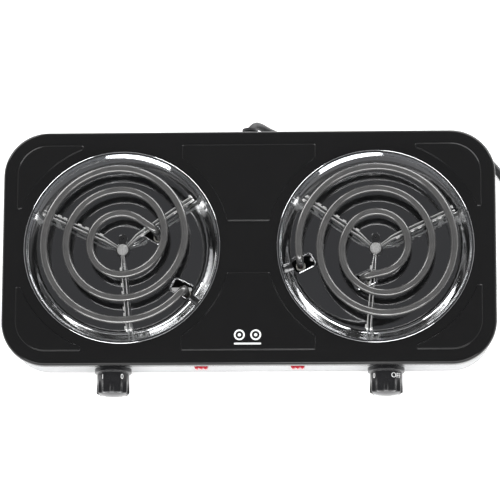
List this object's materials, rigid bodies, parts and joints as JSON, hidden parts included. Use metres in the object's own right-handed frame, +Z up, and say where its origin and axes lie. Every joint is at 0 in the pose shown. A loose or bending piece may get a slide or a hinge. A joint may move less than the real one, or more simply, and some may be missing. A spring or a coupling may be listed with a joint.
{
  "type": "two-burner electric hot plate",
  "caption": "Low enamelled counter-top hot plate with tubular coil burners in bright drip pans, front control knobs with red indicator lenses, and a rear mains cord with its plug.",
  "frame": {"origin": "on the surface it stands on, under the middle of the body's footprint, knobs and cord gland included and the free cord left out", "axes": "+X along the long side to the right as seen from the knobs, +Y to the back, +Z up"},
  "size_m": [0.5677, 0.2842, 0.0715],
  "materials": {
    "black_enamel": "gloss black stove enamel on pressed steel",
    "housing_grey": "light grey satin paint on sheet steel",
    "pan_chrome": "polished bright plated steel",
    "coil_steel": "oxidised grey alloy sheath, satin",
    "trivet_steel": "bright stainless sheet",
    "zinc_steel": "zinc plated steel",
    "terminal_nickel": "nickel plated",
    "shaft_brass": "turned brass",
    "knob_black": "gloss black moulded phenolic",
    "lens_red": "ribbed translucent red polycarbonate",
    "lamp_glass": "neon lamp glass",
    "rubber_black": "soft black rubber",
    "gland_black": "flexible black strain relief",
    "cord_black": "satin black PVC sheath",
    "plug_black": "fine-textured black PVC moulding",
    "tie_grey": "grey strap",
    "ceramic_white": "unglazed white ceramic",
    "thermostat_body": "brown phenolic switch body",
    "block_white": "natural nylon",
    "wire_brown": "brown insulation",
    "wire_blue": "blue insulation",
    "wire_red": "red heat-resistant insulation",
    "wire_green": "green and yellow insulation"
  },
  "bodies": {
    "housing": {"base_cover": "housing_grey", "base_screws": "zinc_steel", "cord_coil": "cord_black", "cord_gland": "gland_black", "cord_tail": "cord_black", "cord_tie": "tie_grey", "earth_screw": "zinc_steel", "earth_wires": "wire_green", "gland_locknut": "zinc_steel", "inner_cord": "cord_black", "left_centre_nut": "zinc_steel", "left_centre_screw": "trivet_steel", "left_coil_insulators": "ceramic_white", "left_coil_pins": "terminal_nickel", "left_cross_bar": "zinc_steel", "left_drip_pan": "pan_chrome", "left_heating_coil": "coil_steel", "left_indicator_lens": "lens_red", "left_neon_lamp": "lamp_glass", "left_thermostat": "thermostat_body", "left_trivet": "trivet_steel", "live_wires": "wire_brown", "lower_housing": "housing_grey", "mains_cord": "cord_black", "mains_plug": "plug_black", "neutral_wires": "wire_blue", "plate_nuts": "zinc_steel", "plate_studs": "zinc_steel", "plug_earth_clips": "terminal_nickel", "plug_pins": "terminal_nickel", "right_centre_nut": "zinc_steel", "right_centre_screw": "trivet_steel", "right_coil_insulators": "ceramic_white", "right_coil_pins": "terminal_nickel", "right_cross_bar": "zinc_steel", "right_drip_pan": "pan_chrome", "right_heating_coil": "coil_steel", "right_indicator_lens": "lens_red", "right_neon_lamp": "lamp_glass", "right_thermostat": "thermostat_body", "right_trivet": "trivet_steel", "rubber_feet": "rubber_black", "switched_wires": "wire_red", "terminal_block": "block_white", "terminal_screws": "terminal_nickel", "thermostat_screws": "zinc_steel", "top_plate": "black_enamel"},
    "left_dial": {"left_knob": "knob_black", "left_thermostat_shaft": "shaft_brass"},
    "right_dial": {"right_knob": "knob_black", "right_thermostat_shaft": "shaft_brass"}
  },
  "joints": [
    {"name": "left_knob_turn", "type": "hinge", "parent": "housing", "child": "left_dial", "pos_m": [-0.1244, -0.09935, 0.032], "axis": [0, 1, 0], "range_deg": [-126, 174]},
    {"name": "right_knob_turn", "type": "hinge", "parent": "housing", "child": "right_dial", "pos_m": [0.1244, -0.09935, 0.032], "axis": [0, 1, 0], "range_deg": [-40, 260]}
  ]
}
